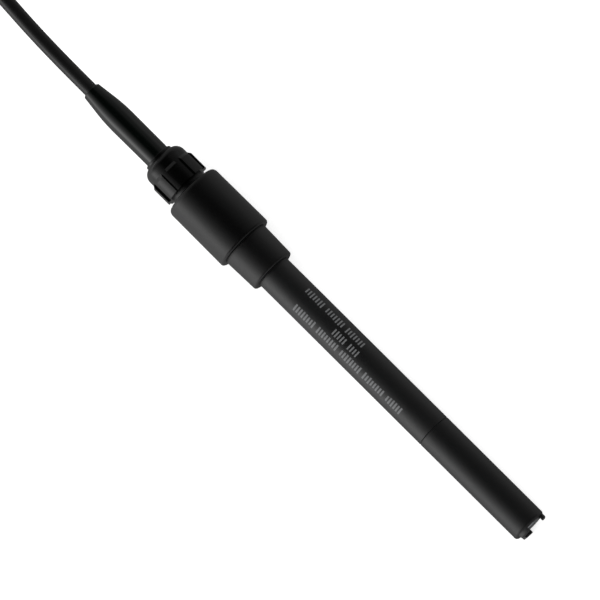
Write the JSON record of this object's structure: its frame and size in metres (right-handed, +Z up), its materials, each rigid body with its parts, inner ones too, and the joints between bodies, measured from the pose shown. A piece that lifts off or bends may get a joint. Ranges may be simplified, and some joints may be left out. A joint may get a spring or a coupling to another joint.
{
  "type": "dissolved oxygen electrode",
  "caption": "Black laboratory probe with a slim immersion shaft, a screw-on membrane sleeve with end lugs, a stepped head, a ribbed cable gland and a fixed cable on two plugs.",
  "frame": {"origin": "middle of the electrode's footprint, on the surface that it lies on, measured without the cord", "axes": "+X along the electrode towards the measuring tip, +Z up; the shaft's axis leans 1.8 degrees down towards the tip, because the electrode rests on the rims of its head and its sleeve"},
  "size_m": [0.4608, 0.0362, 0.022],
  "materials": {
    "shaft_plastic": "satin black moulding",
    "head_plastic": "satin black moulding",
    "nut_plastic": "glossy black moulding",
    "boot_plastic": "glossy flexible black",
    "cable_jacket": "satin cable jacket",
    "seal_rubber": "soft black rubber",
    "core_plastic": "grey moulded core",
    "membrane_plastic": "pale moulding",
    "membrane_film": "stretched dark film",
    "silver": "dull silver",
    "platinum": "bright wire",
    "glass_rod": "clear glass",
    "steel_capsule": "small steel capsule",
    "board": "green circuit board",
    "chip": "black chip",
    "resin": "dark cast resin",
    "wire_insulation": "wire insulation",
    "tie_strap": "black strap",
    "plug_nickel": "nickel plated",
    "plug_gold": "gold plated",
    "plug_white": "white insulator",
    "plug_black": "black moulding",
    "gasket": "red-brown gasket"
  },
  "bodies": {
    "root": {"shaft_tube": "shaft_plastic", "inner_body": "core_plastic", "anode_sleeve": "silver", "glass_tip": "glass_rod", "cathode_wire": "platinum", "temperature_sensor": "steel_capsule", "sleeve_seal_ring": "seal_rubber", "membrane_seal_ring": "seal_rubber", "lead_wires": "wire_insulation", "circuit_board": "board", "board_chip": "chip", "potting_plug": "resin", "collar": "head_plastic", "head_housing": "head_plastic", "gland_seal": "seal_rubber", "gland_cage": "plug_white", "cable_boot": "boot_plastic", "cable_in_gland": "cable_jacket", "cable_cores": "wire_insulation", "cable": "cable_jacket", "cable_hank": "cable_jacket", "cable_tail": "cable_jacket", "cord_tie": "tie_strap", "y_splitter": "plug_black", "bayonet_lead": "cable_jacket", "round_lead": "cable_jacket", "bayonet_boot": "plug_black", "bayonet_body": "plug_nickel", "bayonet_insulator": "plug_white", "bayonet_pin": "plug_gold", "bayonet_gasket": "gasket", "round_plug_grip": "plug_black", "round_plug_shell": "plug_nickel", "round_plug_insert": "plug_black", "round_plug_pins": "plug_gold"},
    "membrane_module": {"membrane_body": "membrane_plastic", "membrane_disc": "membrane_film", "membrane_clamp_ring": "membrane_plastic"},
    "cap_sleeve": {"cap_sleeve": "shaft_plastic"},
    "gland_nut": {"gland_nut": "nut_plastic"},
    "bayonet_collar": {"bayonet_collar": "plug_nickel"}
  },
  "joints": [
    {"name": "membrane_pull", "type": "slide", "parent": "root", "child": "membrane_module", "axis": [0.9995, 0, -0.0321], "range_m": [0, 0.05]},
    {"name": "sleeve_turn", "type": "hinge", "parent": "membrane_module", "child": "cap_sleeve", "pos_m": [0.05478, 0, 0.00734], "axis": [0.9995, 0, -0.0321], "range_deg": [0, 1170]},
    {"name": "nut_turn", "type": "hinge", "parent": "root", "child": "gland_nut", "pos_m": [-0.05561, 0, 0.01089], "axis": [0.9995, 0, -0.0321], "range_deg": [-810, 0]},
    {"name": "coupling_turn", "type": "hinge", "parent": "root", "child": "bayonet_collar", "pos_m": [-0.3612, 0.0105, 0.0073], "axis": [1, 0, 0], "continuous": true}
  ]
}
